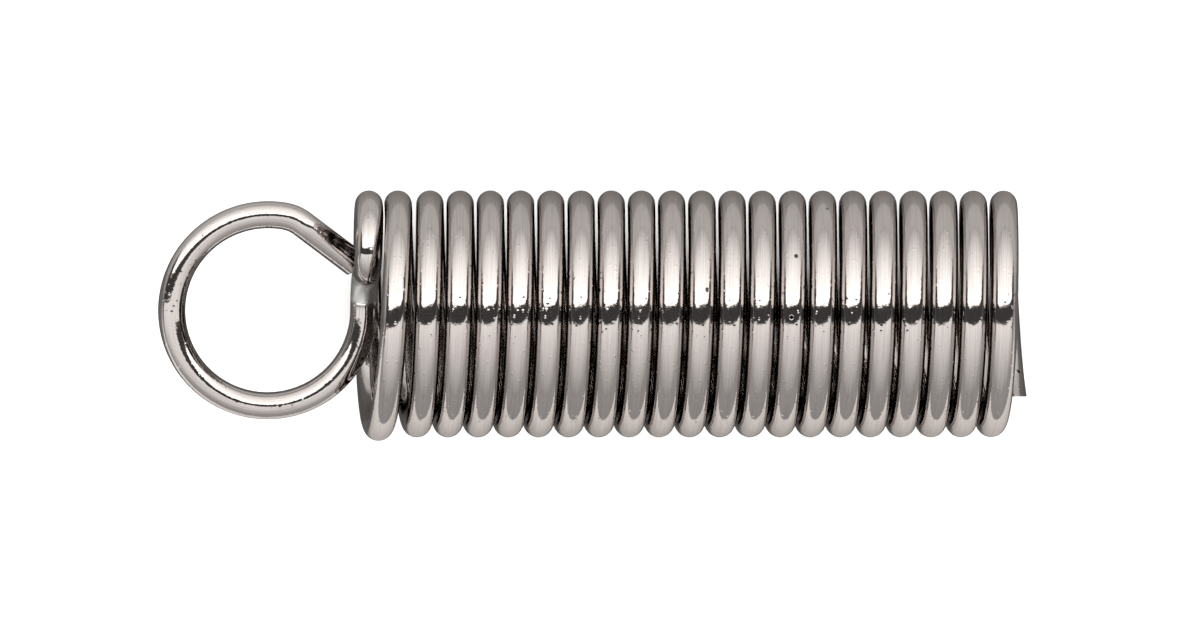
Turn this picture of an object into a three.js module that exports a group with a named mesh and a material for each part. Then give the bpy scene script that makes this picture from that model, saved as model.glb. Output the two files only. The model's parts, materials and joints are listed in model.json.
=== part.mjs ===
// A coil made of one bright wire: twenty-one open-wound turns, a neck that rises off the first turn, a ring
// bent from the same wire at one end, and a short tail cut off straight at the other.
//
// The wire flexes by twisting where it passes the two sides of the coil, so it is divided there: every turn
// is a lower half, under the coil's axis, and an upper half, over it.
//
// Millimetres. +X runs along the coil from the ring to the tail, +Z is up, and the part lies on z = 0.

import * as THREE from "three";

// Wire
const WIRE_DIAMETER = 1.02; // 18 gauge
const SECTION_SIDES = 8;

// Coil
const TURNS = 21;
const COIL_RADIUS = 4.065; // to the middle of the wire
const COIL_START_X = -8.33; // where the wire leaves the neck, at the coil's +Y side
const ADVANCE = 1.12; // from one turn to the next
const FIRST_ADVANCE = 0.3; // the first turn starts out almost square to the axis
const FIRST_SWING = 0.78; // and then swings over to meet the second
const FIRST_BULGE = 0.13; // how far it stands out of the coil's -Y side
const SECOND_ADVANCE = 1.19;
const TURN_LEAN = 0.1; // every turn's -Y side sits this much further along the coil than its pitch puts it
const CHORDS_PER_HALF = 13; // an odd number puts a flat chord at the very bottom, for the coil to rest on
const TAIL_CHORDS = 10;

// Neck: follows the coil a little way up, leans over its shoulder to level, turns down over its nose, drops, and
// flattens out into the ring
const NECK_RISE_ANGLE = 13.5;
const NECK_RISE_CHORDS = 1;
const NECK_SHOULDER_RADIUS = 1.7;
const NECK_SHOULDER_CHORDS = 6;
const NECK_NOSE_RADIUS = 0.7;
const NECK_NOSE_CHORDS = 6;
const NECK_DROP_ANGLE = 85; // how steeply it comes down, from level
const NECK_FOOT_RADIUS = 1.65;
const NECK_FOOT_CHORDS = 6;
const NECK_DRIFT = 0.18; // how far it strays towards the ring on the way

// Ring
const RING_RADIUS = 3.56; // to the middle of the wire
const RING_ANGLE = 280;
const RING_TILT = 6.5; // its +Y side stands higher
const RING_CHORDS = 21;
const RING_END_RADIUS = 1.5; // the bend that straightens the ring's end back under the neck
const RING_END_ANGLE = 28;
const RING_END_CHORDS = 2;
const RING_END_DIP = 14; // how far it is then bent down, to pass under the neck
const RING_END_DIP_RADIUS = 1;
const RING_END_STRAIGHT = 2.3;

const JOINT_GAP = 0.03; // between the end faces of two neighbouring pieces of the wire

const CHORD_ANGLE = 180 / CHORDS_PER_HALF;
const SECTION_RADIUS = sectionRadius();
const FLAT_DISTANCE = SECTION_RADIUS * Math.cos(Math.PI / SECTION_SIDES); // from the wire's middle to a flat
const AXIS_HEIGHT = (COIL_RADIUS + FLAT_DISTANCE) * Math.cos(radians(CHORD_ANGLE / 2));
const GAP_TURNS = JOINT_GAP / 2 / (2 * Math.PI * COIL_RADIUS);

const X_AXIS = new THREE.Vector3(1, 0, 0);
const Y_AXIS = new THREE.Vector3(0, 1, 0);
const Z_AXIS = new THREE.Vector3(0, 0, 1);

function radians(angle) {
  return (angle * Math.PI) / 180;
}

// The corner radius of the many-sided section that has the round wire's area.
function sectionRadius() {
  const area = (Math.PI * WIRE_DIAMETER ** 2) / 4;
  return Math.sqrt((2 * area) / (SECTION_SIDES * Math.sin((2 * Math.PI) / SECTION_SIDES)));
}

// A path given by its stations. Each has a point, and the two directions that the section is drawn along.
class StationPath extends THREE.Curve {
  constructor(stations) {
    super();
    this.stations = stations;
  }

  getSpacedPoints() {
    return this.stations.map((station) => station.point);
  }

  computeFrenetFrames() {
    return {
      normals: this.stations.map((station) => station.normal),
      binormals: this.stations.map((station) => station.binormal),
    };
  }
}

// The wire's section, with a flat facing each of its two directions.
function wireSection() {
  const corners = [];
  for (let side = 0; side < SECTION_SIDES; side += 1) {
    const angle = ((side + 0.5) * 2 * Math.PI) / SECTION_SIDES;
    corners.push(new THREE.Vector2(SECTION_RADIUS * Math.cos(angle), SECTION_RADIUS * Math.sin(angle)));
  }
  return new THREE.Shape(corners);
}

function wireMesh(name, stations) {
  const geometry = new THREE.ExtrudeGeometry(wireSection(), {
    steps: stations.length - 1,
    extrudePath: new StationPath(stations),
  });
  const material = new THREE.MeshStandardMaterial({ color: 0xc9c7c1, metalness: 1, roughness: 0.18 });
  const mesh = new THREE.Mesh(geometry, material);
  mesh.name = name;
  return mesh;
}

// How far along X the wire is when it has gone a number of turns past the neck.
function coilX(turns) {
  const first = FIRST_ADVANCE * Math.min(turns, 1) + FIRST_SWING * THREE.MathUtils.smoothstep(turns, 0.35, 1);
  const second = SECOND_ADVANCE * THREE.MathUtils.clamp(turns - 1, 0, 1);
  const others = ADVANCE * Math.max(turns - 2, 0);
  const lean = (TURN_LEAN / 2) * (1 - Math.cos(2 * Math.PI * turns));
  return COIL_START_X + first + second + others + lean;
}

// The wire after a number of turns: at whole turns it is on the +Y side, and it goes under the axis first.
// Sections lie in planes through the axis, with a flat facing outwards.
function coilStation(turns) {
  const angle = -2 * Math.PI * turns;
  const normal = new THREE.Vector3(0, Math.cos(angle), Math.sin(angle));
  const point = normal.clone().multiplyScalar(COIL_RADIUS);
  point.x = coilX(turns);
  point.z += AXIS_HEIGHT;
  if (turns < 1) {
    point.y -= FIRST_BULGE * Math.sin(Math.PI * turns) ** 2;
  }
  return { point, normal, binormal: X_AXIS };
}

// The stations of one piece of the coil. It stops just short of the pieces that it joins.
function coilStations(startTurns, chords) {
  const stations = [];
  for (let chord = 0; chord <= chords; chord += 1) {
    let turns = startTurns + (chord * CHORD_ANGLE) / 360;
    if (chord === 0) {
      turns += GAP_TURNS;
    }
    if (chord === CHORDS_PER_HALF) {
      turns -= GAP_TURNS;
    }
    stations.push(coilStation(turns));
  }
  return stations;
}

// The tail is cut through square to Y, which is slantwise across the wire.
function tailStations() {
  const stations = coilStations(TURNS, TAIL_CHORDS);
  const cut = stations[TAIL_CHORDS];
  cut.normal = Z_AXIS.clone().divideScalar(cut.normal.z);
  return stations;
}

// Walks along the wire from where it starts, as a wire-forming machine does: straight on, or round a bend.
class WireFormer {
  constructor(point, heading, normal) {
    this.point = point.clone();
    this.heading = heading.clone();
    this.normal = normal.clone();
    this.stations = [];
    this.mark();
  }

  mark() {
    this.stations.push({
      point: this.point.clone(),
      normal: this.normal.clone(),
      binormal: this.heading.clone().cross(this.normal),
    });
  }

  straight(length) {
    this.point.addScaledVector(this.heading, length);
    this.mark();
  }

  bend(axis, radius, angle, chords) {
    const step = radians(angle / chords);
    const chordLength = 2 * radius * Math.sin(Math.abs(step) / 2);
    for (let chord = 0; chord < chords; chord += 1) {
      this.heading.applyAxisAngle(axis, step / 2);
      this.point.addScaledVector(this.heading, chordLength);
      this.heading.applyAxisAngle(axis, step / 2);
      this.normal.applyAxisAngle(axis, step);
      this.mark();
    }
  }
}

// The straight length between the neck's two bends that brings the ring's middle level with the coil's axis.
function neckDropLength() {
  const rise = radians(NECK_RISE_ANGLE);
  const drop = radians(NECK_DROP_ANGLE);
  const top = COIL_RADIUS * Math.sin(rise) + NECK_SHOULDER_RADIUS * (1 - Math.sin(rise));
  const nose = NECK_NOSE_RADIUS * (1 - Math.cos(drop));
  const foot = NECK_FOOT_RADIUS * (Math.cos(radians(RING_TILT)) - Math.cos(drop));
  return (top - nose - foot) / Math.sin(drop);
}

// The neck and the ring, from the coil to the ring's free end.
function endLoopStations() {
  const gap = JOINT_GAP / 2;
  const start = new THREE.Vector3(COIL_START_X, COIL_RADIUS, AXIS_HEIGHT + gap);
  const wire = new WireFormer(start, Z_AXIS, Y_AXIS);
  wire.bend(X_AXIS, COIL_RADIUS, NECK_RISE_ANGLE, NECK_RISE_CHORDS);
  wire.bend(X_AXIS, NECK_SHOULDER_RADIUS, 90 - NECK_RISE_ANGLE, NECK_SHOULDER_CHORDS);
  wire.bend(X_AXIS, NECK_NOSE_RADIUS, NECK_DROP_ANGLE, NECK_NOSE_CHORDS);
  wire.straight(neckDropLength() + gap / Math.sin(radians(NECK_DROP_ANGLE)));
  wire.bend(X_AXIS, NECK_FOOT_RADIUS, RING_TILT - NECK_DROP_ANGLE, NECK_FOOT_CHORDS);
  const neckStations = wire.stations.length - 1;
  const ringAxis = Z_AXIS.clone().applyAxisAngle(X_AXIS, radians(RING_TILT));
  wire.bend(ringAxis, RING_RADIUS, -RING_ANGLE, RING_CHORDS);
  wire.bend(ringAxis, RING_END_RADIUS, -RING_END_ANGLE, RING_END_CHORDS);
  wire.bend(wire.heading.clone().cross(ringAxis), RING_END_DIP_RADIUS, -RING_END_DIP, 1);
  wire.straight(RING_END_STRAIGHT);
  wire.stations.forEach((station, index) => {
    station.point.x -= NECK_DRIFT * THREE.MathUtils.smoothstep(index, 0, neckStations);
  });
  return wire.stations;
}

const group = new THREE.Group();
group.add(wireMesh("end_loop", endLoopStations()));
for (let turn = 1; turn <= TURNS; turn += 1) {
  const number = String(turn).padStart(2, "0");
  group.add(wireMesh(`turn_${number}_lower`, coilStations(turn - 1, CHORDS_PER_HALF)));
  group.add(wireMesh(`turn_${number}_upper`, coilStations(turn - 0.5, CHORDS_PER_HALF)));
}
group.add(wireMesh("tail_end", tailStations()));

export default group;
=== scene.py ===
"""A bright wire coil end for cord: twenty-one turns, a neck, a ring, and a tail cut off straight.

It is all one bent wire. The CAD model divides it into half turns, and each has its own piece here: a closed
length of round wire. Neighbours meet face to face on a hinge that runs through the middle of the wire, so
they only twist against each other when the coil flexes, and the wire stays whole at every pose.
"""

import json
import math

import bpy
import numpy as np
from mathutils import Matrix, Vector

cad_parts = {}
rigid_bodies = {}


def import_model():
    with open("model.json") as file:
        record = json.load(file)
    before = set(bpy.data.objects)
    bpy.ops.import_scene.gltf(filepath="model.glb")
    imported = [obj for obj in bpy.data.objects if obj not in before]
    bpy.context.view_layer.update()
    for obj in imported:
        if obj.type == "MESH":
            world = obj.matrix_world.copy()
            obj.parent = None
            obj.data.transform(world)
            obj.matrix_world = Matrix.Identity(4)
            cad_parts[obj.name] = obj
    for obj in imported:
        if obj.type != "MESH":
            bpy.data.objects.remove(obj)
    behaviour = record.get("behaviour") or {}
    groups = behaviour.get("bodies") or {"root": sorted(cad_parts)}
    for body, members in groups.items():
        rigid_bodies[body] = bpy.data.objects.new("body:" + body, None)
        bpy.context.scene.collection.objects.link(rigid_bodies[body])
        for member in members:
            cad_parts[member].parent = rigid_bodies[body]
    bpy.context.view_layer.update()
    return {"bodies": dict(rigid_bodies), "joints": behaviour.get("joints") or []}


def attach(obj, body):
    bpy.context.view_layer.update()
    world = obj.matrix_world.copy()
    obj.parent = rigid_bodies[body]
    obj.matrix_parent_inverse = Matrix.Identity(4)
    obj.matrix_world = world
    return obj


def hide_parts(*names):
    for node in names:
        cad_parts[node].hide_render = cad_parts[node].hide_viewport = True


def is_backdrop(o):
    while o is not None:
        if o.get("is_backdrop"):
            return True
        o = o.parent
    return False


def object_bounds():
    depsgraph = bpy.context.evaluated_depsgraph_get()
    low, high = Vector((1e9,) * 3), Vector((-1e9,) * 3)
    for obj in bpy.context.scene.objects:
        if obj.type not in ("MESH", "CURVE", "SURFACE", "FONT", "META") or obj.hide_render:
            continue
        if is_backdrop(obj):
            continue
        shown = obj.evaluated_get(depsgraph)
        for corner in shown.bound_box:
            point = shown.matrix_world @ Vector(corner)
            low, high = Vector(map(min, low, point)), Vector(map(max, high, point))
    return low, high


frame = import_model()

MM = 0.001
X_AXIS = Vector((1, 0, 0))
Y_AXIS = Vector((0, 1, 0))
Z_AXIS = Vector((0, 0, 1))

# Wire
WIRE_RADIUS = 0.51 * MM
WIRE_SIDES = 32
STEPS_PER_HALF = 44  # lengths of wire in each half turn
LOOP_STEP = 0.05 * MM  # the same, along the neck and the ring
CUT_EDGE = 0.03 * MM  # how far the wire's edge is rounded where it is cut
CUT_EDGE_STEPS = 4

# Coil, as the hinges place it
HINGES = {joint["name"]: Vector(joint["pos_m"]) for joint in frame["joints"]}
TURNS = (len(frame["bodies"]) - 2) // 2
COIL_START = HINGES["left_flex_00"]
COIL_RADIUS = COIL_START.y
AXIS_HEIGHT = COIL_START.z
SECOND_ADVANCE = HINGES["left_flex_02"].x - HINGES["left_flex_01"].x
ADVANCE = (HINGES[f"left_flex_{TURNS}"].x - HINGES["left_flex_02"].x) / (TURNS - 2)
FIRST_ADVANCE = 0.3 * MM
FIRST_SWING = HINGES["left_flex_01"].x - COIL_START.x - FIRST_ADVANCE
FIRST_BULGE = 0.13 * MM
TURN_LEAN = 0.1 * MM
TAIL_ANGLE = 10 * 180 / 13  # ten of the CAD model's chords
TAIL_SLANT = 1.6 * MM  # the length over which the wire's sections turn square to Y

# Neck
NECK_RISE_ANGLE = 13.5
NECK_SHOULDER_RADIUS = 1.7 * MM
NECK_NOSE_RADIUS = 0.7 * MM
NECK_DROP_ANGLE = 85
NECK_FOOT_RADIUS = 1.65 * MM
NECK_DRIFT = 0.18 * MM

# Ring
RING_RADIUS = 3.56 * MM
RING_ANGLE = 280
RING_TILT = 6.5
RING_END_RADIUS = 1.5 * MM
RING_END_ANGLE = 28
RING_END_DIP = 14
RING_END_DIP_RADIUS = 1 * MM
RING_END_STRAIGHT = 2.3 * MM

# The mark that the bending tool left inside the neck's foot: a shallow flat with a lip at the ring's end
MARK_START = 0.35 * MM  # from the start of the foot
MARK_END = 2.1 * MM
MARK_EDGE = 0.12 * MM
MARK_DEPTH = 0.02 * MM
LIP_WIDTH = 0.1 * MM
LIP_HEIGHT = 0.045 * MM

# Finish. Heights and sizes are in millimetres, on the wire as it was before it was bent. Grains are how many
# a noise has in each millimetre, along the wire and across it.
LINE_GRAINS = (0.5, 26, 26)
LINE_HEIGHT = 0.0004
LINE_SHARE = (0.38, 0.68)  # the part of the noise's range over which the plating darkens
PEEL_GRAINS = (6.5, 7.5, 7.5)
PEEL_HEIGHT = 0.0028
WAVE_GRAINS = (0.9, 2.6, 2.6)
WAVE_HEIGHT = 0.004
CLOUD_GRAINS = (0.45, 1.6, 1.6)  # of the slow change in roughness
SPECKS = 4.5  # in each millimetre, each way
SPECK_RADIUS = 0.32  # in shares of the distance between two of them, as the pits' is
SPECK_SIZES = (0.2, 0.9)  # the random numbers, from 0 to 1, that give no speck and the largest
SPECK_HEIGHT = 0.008
PITS = 0.9  # places for one in each millimetre, each way
PIT_RADIUS = (0.09, 0.05)  # outside and at the bottom
PIT_CHANCE = 0.2  # the share of the places for a pit that have one
PIT_DEPTH = 0.01
MARK_PATCH = (0.4, 2.2)  # the roughened patch under the tool mark, from the start of the foot
PATCH_EDGE = 0.2
PATCH_SIDE = (-0.1, 0.2)  # how far up the wire it starts
PLATING_COLOUR = (0.585, 0.54, 0.52, 1)
LINE_COLOUR = (0.50, 0.46, 0.44, 1)
MARK_COLOUR = (0.8, 0.79, 0.77, 1)
PIT_COLOUR = (0.05, 0.045, 0.04, 1)
EDGE_TINT = (0.65, 0.62, 0.6, 1)  # of what it reflects at a glance
ROUGHNESS = (0.04, 0.1)
MARK_ROUGHNESS = (0.2, 0.5)
PAINTED_SHADE_DEPTH = 1.5  # the wire is painted dark brown where it is seen after more reflections than this: painted shade, mostly in the gaps between the turns
# the colour of the painted shade in the gaps between the turns
GAP_SHADE_COLOUR = (0.1, 0.07, 0.05, 1)

# Camera
LENS = 810
CAMERA_TILT = 2.7  # degrees off straight down, towards the ring
OBJECT_SHARE = 0.7285  # of the picture's width
TARGET_SHIFT = Vector((0.19 * MM, 0.07 * MM))

# Floor. It is plain white to the camera. The wire reflects it in painted tones instead: painted shade under
# the coil and at its back, a painted pool of light at its front, and other tones further out.
FLOOR_RADIUS = 2.0
FLOOR_SIDES = 64
FLOOR_WHITE = 0.9
FLOOR_SHADOW_UNDER = 0.12  # these five are the painted tones that only reflections see: painted shade under the coil and at its back (+Y), a painted pool of light at its front, and the tones further out
FLOOR_SHADOW_BACK = 0.25
FLOOR_FAR_BACK = 0.33
FLOOR_LIT_FRONT = 0.53
FLOOR_FAR_FRONT = 0.21
UNDER_EDGE = (4.8 * MM, 6.2 * MM)
BACK_EDGE = (12 * MM, 14 * MM)
FRONT_EDGE = (-16 * MM, -18 * MM)

# Light. Angles are degrees from straight up, in a plane square to the coil, towards +Y for the bright panel
# and towards -Y for the grey one. Each pair is where the light starts to come or go, and where it has.
GAP_EDGE = (7.2, 9.0)
GAP_SWING = 36  # how many degrees further over the bright panel starts at its ends
GAP_SWING_POWER = 8  # the higher, the nearer the ends it swings over
BRIGHT_FADE = (10, 90)
BRIGHT_LIGHT = 2.4
BRIGHT_FAR_LIGHT = 0.64
BRIGHT_END = (0.88, 0.84)  # how far the panel reaches along the coil, as the sine of the angle
GREY_EDGE = (9.0, 10.5)
GREY_FADE = (10, 84)
GREY_LIGHT = 1.34
GREY_FAR_LIGHT = 0.45
GREY_END = (0.97, 0.92)
ROOM_FADE = (0.35, 0.0)  # the sine of the height above the horizon
ROOM_LIGHT = 0.5
GAP_LIGHT = 0.06
FILL_LIGHT = 2.2
BACKDROP_LIGHT = 1.0
LIGHT_COLOUR = (1, 0.995, 0.985, 1)


def smoothstep(value, start, end):
    share = np.clip((value - start) / (end - start), 0, 1)
    return share * share * (3 - 2 * share)


# The wire's centre line. Each station has a point, and the direction that its section's first corner faces.


def coil_x(turns):
    """How far along X the wire is when it has gone a number of turns past the neck."""
    first = FIRST_ADVANCE * min(turns, 1) + FIRST_SWING * smoothstep(turns, 0.35, 1)
    second = SECOND_ADVANCE * min(max(turns - 1, 0), 1)
    others = ADVANCE * max(turns - 2, 0)
    lean = TURN_LEAN / 2 * (1 - math.cos(2 * math.pi * turns))
    return COIL_START.x + first + second + others + lean


def coil_station(turns):
    angle = -2 * math.pi * turns
    normal = Vector((0, math.cos(angle), math.sin(angle)))
    point = normal * COIL_RADIUS + Vector((coil_x(turns), 0, AXIS_HEIGHT))
    if turns < 1:
        point.y -= FIRST_BULGE * math.sin(math.pi * turns) ** 2
    return point, normal


class WireFormer:
    """Walks along the wire from its start, as a wire-forming machine does: straight on, or round a bend."""

    def __init__(self, point, heading, normal):
        self.point = point.copy()
        self.heading = heading.copy()
        self.normal = normal.copy()
        self.length = 0
        self.stations = []
        self.lengths = []
        self.mark()

    def mark(self):
        self.stations.append((self.point.copy(), self.normal.copy()))
        self.lengths.append(self.length)

    def straight(self, length):
        steps = math.ceil(length / LOOP_STEP)
        for _ in range(steps):
            self.point += self.heading * (length / steps)
            self.length += length / steps
            self.mark()

    def bend(self, axis, radius, angle):
        arc = radius * math.radians(abs(angle))
        steps = math.ceil(arc / LOOP_STEP)
        half_step = Matrix.Rotation(math.radians(angle) / steps / 2, 3, axis)
        chord = 2 * radius * math.sin(math.radians(abs(angle)) / steps / 2)
        for _ in range(steps):
            self.heading.rotate(half_step)
            self.point += self.heading * chord
            self.heading.rotate(half_step)
            self.normal.rotate(half_step @ half_step)
            self.length += arc / steps
            self.mark()


def neck_drop_length():
    """The straight length from nose to foot that brings the ring's middle level with the coil's axis."""
    rise = math.radians(NECK_RISE_ANGLE)
    drop = math.radians(NECK_DROP_ANGLE)
    top = COIL_RADIUS * math.sin(rise) + NECK_SHOULDER_RADIUS * (1 - math.sin(rise))
    nose = NECK_NOSE_RADIUS * (1 - math.cos(drop))
    foot = NECK_FOOT_RADIUS * (math.cos(math.radians(RING_TILT)) - math.cos(drop))
    return (top - nose - foot) / math.sin(drop)


def foot_start():
    """How far the foot of the neck is from the ring's free end, along the wire."""
    dip = RING_END_DIP_RADIUS * math.radians(RING_END_DIP)
    bend = RING_END_RADIUS * math.radians(RING_END_ANGLE)
    return RING_END_STRAIGHT + dip + bend + RING_RADIUS * math.radians(RING_ANGLE)


def end_loop_stations():
    """The neck and the ring, from the ring's free end to the coil."""
    wire = WireFormer(COIL_START, Z_AXIS, Y_AXIS)
    wire.bend(X_AXIS, COIL_RADIUS, NECK_RISE_ANGLE)
    wire.bend(X_AXIS, NECK_SHOULDER_RADIUS, 90 - NECK_RISE_ANGLE)
    wire.bend(X_AXIS, NECK_NOSE_RADIUS, NECK_DROP_ANGLE)
    wire.straight(neck_drop_length())
    wire.bend(X_AXIS, NECK_FOOT_RADIUS, RING_TILT - NECK_DROP_ANGLE)
    neck_length = wire.length
    ring_axis = Matrix.Rotation(math.radians(RING_TILT), 3, "X") @ Z_AXIS
    wire.bend(ring_axis, RING_RADIUS, -RING_ANGLE)
    wire.bend(ring_axis, RING_END_RADIUS, -RING_END_ANGLE)
    wire.bend(wire.heading.cross(ring_axis), RING_END_DIP_RADIUS, -RING_END_DIP)
    wire.straight(RING_END_STRAIGHT)
    for (point, _), length in zip(wire.stations, wire.lengths):
        point.x -= NECK_DRIFT * smoothstep(length, 0, neck_length)
    return wire.stations[::-1]


def coil_stations(start, end):
    """The coil's stations between two numbers of turns."""
    steps = round((end - start) * 2 * STEPS_PER_HALF)
    return [coil_station(start + (end - start) * step / steps) for step in range(steps + 1)]


def wire_parts():
    """Each CAD node with its stations, from the ring's free end to the tail. Neighbours share a station."""
    yield "end_loop", end_loop_stations()
    for turn in range(TURNS):
        yield f"turn_{turn + 1:02d}_lower", coil_stations(turn, turn + 0.5)
        yield f"turn_{turn + 1:02d}_upper", coil_stations(turn + 0.5, turn + 1)
    yield "tail_end", coil_stations(TURNS, TURNS + TAIL_ANGLE / 360)


def unit(vectors):
    return vectors / np.linalg.norm(vectors, axis=-1, keepdims=True)


def along(points):
    """The direction of travel at each point of a row of them that may be unevenly spaced."""
    steps = np.diff(points, axis=0)
    lengths = np.linalg.norm(steps, axis=-1, keepdims=True)
    steps /= lengths
    middle = steps[:-1] * lengths[1:] + steps[1:] * lengths[:-1]
    return unit(np.concatenate([steps[:1], middle, steps[-1:]]))


def tool_mark(travelled, top):
    """How far the tool mark raises the surface. top is 1 along the top of the wire and 0 at its sides."""
    travelled = travelled - foot_start()
    flat = smoothstep(travelled, MARK_START, MARK_START + MARK_EDGE)
    flat *= 1 - smoothstep(travelled, MARK_END - MARK_EDGE, MARK_END)
    lip = 1 - smoothstep(np.abs(travelled - MARK_START), 0, LIP_WIDTH)
    return top * (LIP_HEIGHT * lip - MARK_DEPTH * flat)


class Wire:
    """The whole wire as rings of surface points, with their normals and their places before bending."""

    def __init__(self):
        stations = []
        self.spans = {}
        for node, part in wire_parts():
            first = max(len(stations) - 1, 0)
            stations += part[1:] if stations else part
            self.spans[node] = slice(first, len(stations))
        centres = np.array([point for point, _ in stations])
        forward = along(centres)
        out = np.array([normal for _, normal in stations])
        across = unit(np.cross(forward, out))
        out = np.cross(across, forward)
        turn = np.arange(WIRE_SIDES) * 2 * math.pi / WIRE_SIDES
        steps = np.linalg.norm(np.diff(centres, axis=0), axis=1)
        travelled = np.concatenate([[0], np.cumsum(steps)])
        radial = np.cos(turn)[:, None] * out[:, None] + np.sin(turn)[:, None] * across[:, None]
        raised = tool_mark(travelled[:, None], np.maximum(np.cos(turn), 0))
        slope = np.gradient(raised, travelled, axis=0)
        self.centres = centres
        self.forward = forward
        self.normals = unit(radial - slope[..., None] * forward[:, None])
        self.rings = centres[:, None] + (WIRE_RADIUS + raised)[..., None] * radial
        self.place = np.zeros_like(self.rings)
        self.place[..., 0] = travelled[:, None]
        self.place[..., 1] = WIRE_RADIUS * np.cos(turn)
        self.place[..., 2] = WIRE_RADIUS * np.sin(turn)
        self.slant_tail()

    def slant_tail(self):
        """Slides the last surface points along the wire, so that its end faces -Y, as it is cut."""
        to_go = self.place[-1, 0, 0] - self.place[..., 0]
        share = 1 - smoothstep(to_go, 0, TAIL_SLANT)
        slide = share * -WIRE_RADIUS * self.normals[-1, :, 1] / self.forward[-1, 1]
        self.rings += slide[..., None] * self.forward[:, None]
        self.place[..., 0] += slide

    def facing(self, node, side):
        """The direction that a piece's end faces: side is -1 for its first station and 1 for its last."""
        if node == "tail_end" and side == 1:
            return -np.array(Y_AXIS)
        station = self.spans[node].stop - 1 if side == 1 else self.spans[node].start
        return side * self.forward[station]


def cut_edge(wire, station, facing):
    """The rings of the rounded edge between the wire's surface and its cut end."""
    rim = wire.rings[station]
    inward = unit(wire.centres[station] - rim)
    rows = []
    for step in range(1, CUT_EDGE_STEPS + 1):
        turn = math.pi / 2 * step / CUT_EDGE_STEPS
        points = rim + CUT_EDGE * ((1 - math.cos(turn)) * inward + math.sin(turn) * facing)
        normals = unit(math.cos(turn) * wire.normals[station] + math.sin(turn) * facing)
        rows.append((points, normals, wire.place[station]))
    return rows


def wire_rows(wire, node):
    """One piece's rings, as rows of points, normals and places, with its cut end if it has one."""
    span = wire.spans[node]
    rows = list(zip(wire.rings[span], wire.normals[span], wire.place[span]))
    if node == "end_loop":
        rows = cut_edge(wire, 0, wire.facing(node, -1))[::-1] + rows
    if node == "tail_end":
        rows = rows + cut_edge(wire, -1, wire.facing(node, 1))
    return rows


def wire_piece(wire, node, material):
    """A closed round length of wire in place of one CAD node."""
    points, normals, places = (np.array(part) for part in zip(*wire_rows(wire, node)))
    count = len(points)
    corner = np.arange(count * WIRE_SIDES).reshape(count, WIRE_SIDES)
    after = np.roll(corner, -1, axis=1)
    sides = np.stack([corner[:-1], after[:-1], after[1:], corner[1:]], axis=-1).reshape(-1, 4)
    start_cap = corner[0, ::-1]
    end_cap = corner[-1]
    mesh = bpy.data.meshes.new(f"wire_{node}")
    faces = [*sides.tolist(), start_cap.tolist(), end_cap.tolist()]
    mesh.from_pydata(points.reshape(-1, 3).tolist(), [], faces)
    mesh.polygons.foreach_set("use_smooth", [True] * len(mesh.polygons))
    corner_normals = np.concatenate([
        normals.reshape(-1, 3)[sides.reshape(-1)],
        np.tile(wire.facing(node, -1), (WIRE_SIDES, 1)),
        np.tile(wire.facing(node, 1), (WIRE_SIDES, 1)),
    ])
    mesh.normals_split_custom_set(corner_normals.tolist())
    place = mesh.attributes.new("straight_wire", "FLOAT_VECTOR", "POINT")
    place.data.foreach_set("vector", (places / MM).astype(np.float32).reshape(-1))
    mesh.materials.append(material)
    piece = bpy.data.objects.new(f"wire_{node}", mesh)
    bpy.context.scene.collection.objects.link(piece)
    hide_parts(node)
    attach(piece, node)
    return piece


# Materials and light


class NodeTree:
    """Short calls for adding nodes. An input takes a number, a vector, or another node's output."""

    def __init__(self, tree):
        self.tree = tree
        tree.nodes.clear()

    def add(self, kind, inputs, **settings):
        node = self.tree.nodes.new(kind)
        for name, value in settings.items():
            setattr(node, name, value)
        for name, value in inputs.items():
            if isinstance(value, bpy.types.NodeSocket):
                self.tree.links.new(value, node.inputs[name])
            else:
                node.inputs[name].default_value = value
        return node.outputs

    def math(self, operation, a, b=0.0, c=0.0):
        return self.add("ShaderNodeMath", {0: a, 1: b, 2: c}, operation=operation)[0]

    def product(self, *factors):
        result = factors[0]
        for factor in factors[1:]:
            result = self.math("MULTIPLY", result, factor)
        return result

    def step(self, value, start, end):
        """0 before start, 1 after end, and smooth between them."""
        inputs = {"Value": value, "From Min": start, "From Max": end}
        return self.add("ShaderNodeMapRange", inputs, interpolation_type="SMOOTHSTEP")[0]

    def slope(self, value, ends, first, last):
        """From the first number at one end to the last at the other, in a straight line."""
        inputs = {"Value": value, "From Min": ends[0], "From Max": ends[1], "To Min": first, "To Max": last}
        return self.add("ShaderNodeMapRange", inputs)[0]

    def mix(self, share, a, b):
        """From number a to number b."""
        return self.add("ShaderNodeMix", {0: share, 2: a, 3: b})[0]

    def colour(self, share, a, b):
        """From colour a to colour b."""
        inputs = {0: share, 6: a, 7: b}
        return self.add("ShaderNodeMix", inputs, data_type="RGBA")[2]

    def noise(self, place, grains, detail=2.0, roughness=0.5):
        """Noise with a number of grains in each unit of length, each way."""
        stretched = self.add("ShaderNodeVectorMath", {0: place, 1: grains}, operation="MULTIPLY")[0]
        inputs = {"Vector": stretched, "Scale": 1.0, "Detail": detail, "Roughness": roughness}
        return self.add("ShaderNodeTexNoise", inputs)[0]


def tool_mark_mask(nodes, place):
    """1 on the tool mark and its lip, and 0 elsewhere."""
    start = foot_start() / MM
    on_wire = nodes.add("ShaderNodeSeparateXYZ", {0: place})
    first, last = (start + edge for edge in MARK_PATCH)
    begins = nodes.step(on_wire["X"], first - PATCH_EDGE / 2, first + PATCH_EDGE / 2)
    ends = nodes.step(on_wire["X"], last + PATCH_EDGE, last - PATCH_EDGE)
    return nodes.product(begins, ends, nodes.step(on_wire["Y"], *PATCH_SIDE))


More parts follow.
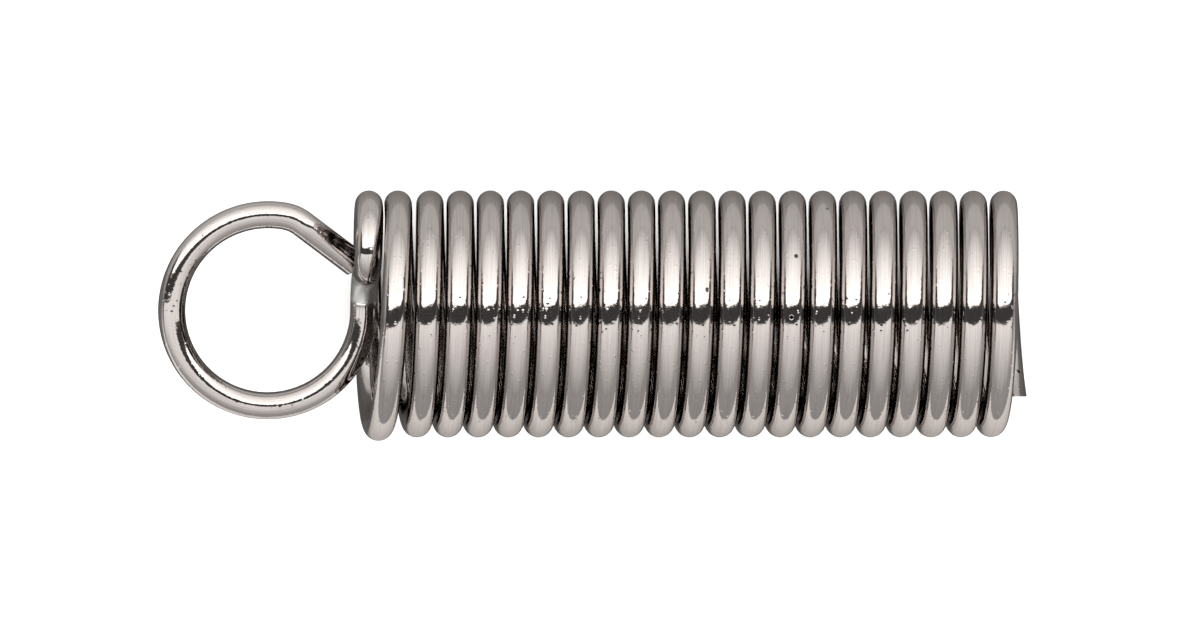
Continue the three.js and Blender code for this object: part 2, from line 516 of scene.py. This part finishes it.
def pits_mask(nodes, place):
    """1 inside a few small pits, scattered over the wire."""
    cells = nodes.add("ShaderNodeTexVoronoi", {"Vector": place, "Scale": PITS})
    chance = nodes.add("ShaderNodeSeparateXYZ", {0: cells["Color"]})["X"]
    chosen = nodes.math("GREATER_THAN", chance, 1 - PIT_CHANCE)
    return nodes.product(chosen, nodes.step(cells["Distance"], *PIT_RADIUS))


def specks_mask(nodes, place):
    """Small round bumps of many sizes, like dust under the plating: 1 at the top of the largest."""
    cells = nodes.add("ShaderNodeTexVoronoi", {"Vector": place, "Scale": SPECKS})
    size = nodes.add("ShaderNodeSeparateXYZ", {0: cells["Color"]})["X"]
    return nodes.product(nodes.step(size, *SPECK_SIZES), nodes.step(cells["Distance"], SPECK_RADIUS, 0.0))


def surface_height(nodes, place, lines, peel, pits):
    """How far the finish stands out of the wire, in millimetres."""
    waves = nodes.noise(place, WAVE_GRAINS)
    height = nodes.math("MULTIPLY_ADD", lines, LINE_HEIGHT, nodes.math("MULTIPLY", peel, PEEL_HEIGHT))
    height = nodes.math("MULTIPLY_ADD", waves, WAVE_HEIGHT, height)
    height = nodes.math("MULTIPLY_ADD", specks_mask(nodes, place), SPECK_HEIGHT, height)
    return nodes.math("MULTIPLY_ADD", pits, -PIT_DEPTH, height)


def bright_wire_material():
    """Nickel-plated steel wire, drawn bright: fine lines, an orange peel, slow waves, specks and pits, with
    painted shade where it is seen after two or more reflections.
    """
    material = bpy.data.materials.new("bright_wire")
    material.use_nodes = True
    nodes = NodeTree(material.node_tree)
    place = nodes.add("ShaderNodeAttribute", {}, attribute_name="straight_wire")["Vector"]
    lines = nodes.noise(place, LINE_GRAINS, detail=3)
    peel = nodes.noise(place, PEEL_GRAINS, roughness=0.55)
    cloud = nodes.noise(place, CLOUD_GRAINS, detail=3)
    mark = tool_mark_mask(nodes, place)
    pits = pits_mask(nodes, place)
    height = surface_height(nodes, place, lines, peel, pits)
    bump = nodes.add("ShaderNodeBump", {"Height": height, "Distance": MM})[0]
    colour = nodes.colour(nodes.step(lines, *LINE_SHARE), PLATING_COLOUR, LINE_COLOUR)
    colour = nodes.colour(mark, colour, MARK_COLOUR)
    colour = nodes.colour(pits, colour, PIT_COLOUR)
    # Painted shade in the gaps between the turns: after the second reflection the wire's colour and edge
    # tint turn dark brown.
    painted_gap_shade = nodes.math("GREATER_THAN", nodes.add("ShaderNodeLightPath", {})["Glossy Depth"], PAINTED_SHADE_DEPTH)
    surface = nodes.add("ShaderNodeBsdfPrincipled", {
        "Base Color": nodes.colour(painted_gap_shade, colour, GAP_SHADE_COLOUR),
        "Metallic": 1.0,
        "Roughness": nodes.mix(mark, nodes.mix(cloud, *ROUGHNESS), nodes.mix(peel, *MARK_ROUGHNESS)),
        "Normal": bump,
        "Specular Tint": nodes.colour(painted_gap_shade, EDGE_TINT, GAP_SHADE_COLOUR),
    })[0]
    nodes.add("ShaderNodeOutputMaterial", {"Surface": surface})
    return material


def studio_world():
    """Plain soft light: a bright panel over the +Y side, a greyer one over the -Y side, and a gap between.

    The panels are what the wire reflects. The floor is lit evenly from all round.
    """
    world = bpy.data.worlds.new("studio")
    world.use_nodes = True
    nodes = NodeTree(world.node_tree)
    direction = nodes.add("ShaderNodeTexCoord", {})["Generated"]
    part = nodes.add("ShaderNodeSeparateXYZ", {0: direction})
    sideways = nodes.math("ABSOLUTE", part["X"])
    turn = nodes.math("DEGREES", nodes.math("ARCTAN2", part["Y"], part["Z"]))
    back_turn = nodes.math("MULTIPLY", turn, -1.0)
    swing = nodes.math("POWER", sideways, GAP_SWING_POWER)
    bright = nodes.product(
        nodes.step(nodes.math("MULTIPLY_ADD", swing, -GAP_SWING, turn), *GAP_EDGE),
        nodes.step(sideways, *BRIGHT_END),
        nodes.slope(turn, BRIGHT_FADE, BRIGHT_LIGHT, BRIGHT_FAR_LIGHT),
    )
    grey = nodes.product(
        nodes.step(back_turn, *GREY_EDGE),
        nodes.step(sideways, *GREY_END),
        nodes.slope(back_turn, GREY_FADE, GREY_LIGHT, GREY_FAR_LIGHT),
    )
    room = nodes.math("MAXIMUM", nodes.product(nodes.step(part["Z"], *ROOM_FADE), ROOM_LIGHT), GAP_LIGHT)
    panels = nodes.math("MAXIMUM", nodes.math("MAXIMUM", bright, grey), room)
    ray = nodes.add("ShaderNodeLightPath", {})
    plain = nodes.mix(ray["Is Camera Ray"], FILL_LIGHT, BACKDROP_LIGHT)
    strength = nodes.mix(ray["Is Glossy Ray"], plain, panels)
    background = nodes.add("ShaderNodeBackground", {"Color": LIGHT_COLOUR, "Strength": strength})[0]
    nodes.add("ShaderNodeOutputWorld", {"Surface": background})
    bpy.context.scene.world = world


def floor_material():
    material = bpy.data.materials.new("white_floor")
    material.use_nodes = True
    nodes = NodeTree(material.node_tree)
    place = nodes.add("ShaderNodeTexCoord", {})["Object"]
    across = nodes.add("ShaderNodeSeparateXYZ", {0: place})["Y"]
    # Painted shade and light that only reflections see: dark under the coil and near its back, lit near its
    # front, other tones further out; the camera sees the floor plain white.
    back = nodes.mix(nodes.step(across, *BACK_EDGE), FLOOR_SHADOW_BACK, FLOOR_FAR_BACK)
    front = nodes.mix(nodes.step(across, *FRONT_EDGE), FLOOR_LIT_FRONT, FLOOR_FAR_FRONT)
    beside = nodes.mix(nodes.math("GREATER_THAN", across, 0.0), front, back)
    painted_reflection_shade = nodes.mix(nodes.step(nodes.math("ABSOLUTE", across), *UNDER_EDGE), FLOOR_SHADOW_UNDER, beside)
    shade = nodes.mix(nodes.add("ShaderNodeLightPath", {})["Is Glossy Ray"], FLOOR_WHITE, painted_reflection_shade)
    surface = nodes.add("ShaderNodeBsdfDiffuse", {"Color": shade})[0]
    nodes.add("ShaderNodeOutputMaterial", {"Surface": surface})
    return material


def floor(height):
    """A plain round floor that the coil lies on."""
    turn = np.arange(FLOOR_SIDES) * 2 * math.pi / FLOOR_SIDES
    rim = [(FLOOR_RADIUS * math.cos(angle), FLOOR_RADIUS * math.sin(angle), height) for angle in turn]
    mesh = bpy.data.meshes.new("floor")
    mesh.from_pydata(rim, [], [range(FLOOR_SIDES)])
    mesh.materials.append(floor_material())
    plane = bpy.data.objects.new("floor", mesh)
    bpy.context.scene.collection.objects.link(plane)
    plane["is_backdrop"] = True


def camera():
    """A long lens nearly straight above, so that the turns all look alike from end to end."""
    data = bpy.data.cameras.new("camera")
    data.lens = LENS
    data.clip_start = 0.01
    data.clip_end = 10
    view = bpy.data.objects.new("camera", data)
    bpy.context.scene.collection.objects.link(view)
    low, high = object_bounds()
    picture_width = (high.x - low.x) / OBJECT_SHARE
    distance = picture_width * LENS / data.sensor_width
    tilt = Matrix.Rotation(math.radians(-CAMERA_TILT), 4, "Y")
    target = Vector(((low.x + high.x) / 2 + TARGET_SHIFT.x, TARGET_SHIFT.y, AXIS_HEIGHT))
    view.matrix_world = Matrix.Translation(target) @ tilt @ Matrix.Translation((0, 0, distance))
    bpy.context.scene.camera = view


wire = Wire()
bright_wire = bright_wire_material()
for node in wire.spans:
    wire_piece(wire, node, bright_wire)
floor(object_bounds()[0].z)
studio_world()
camera()
bpy.context.scene.view_settings.view_transform = "Standard"
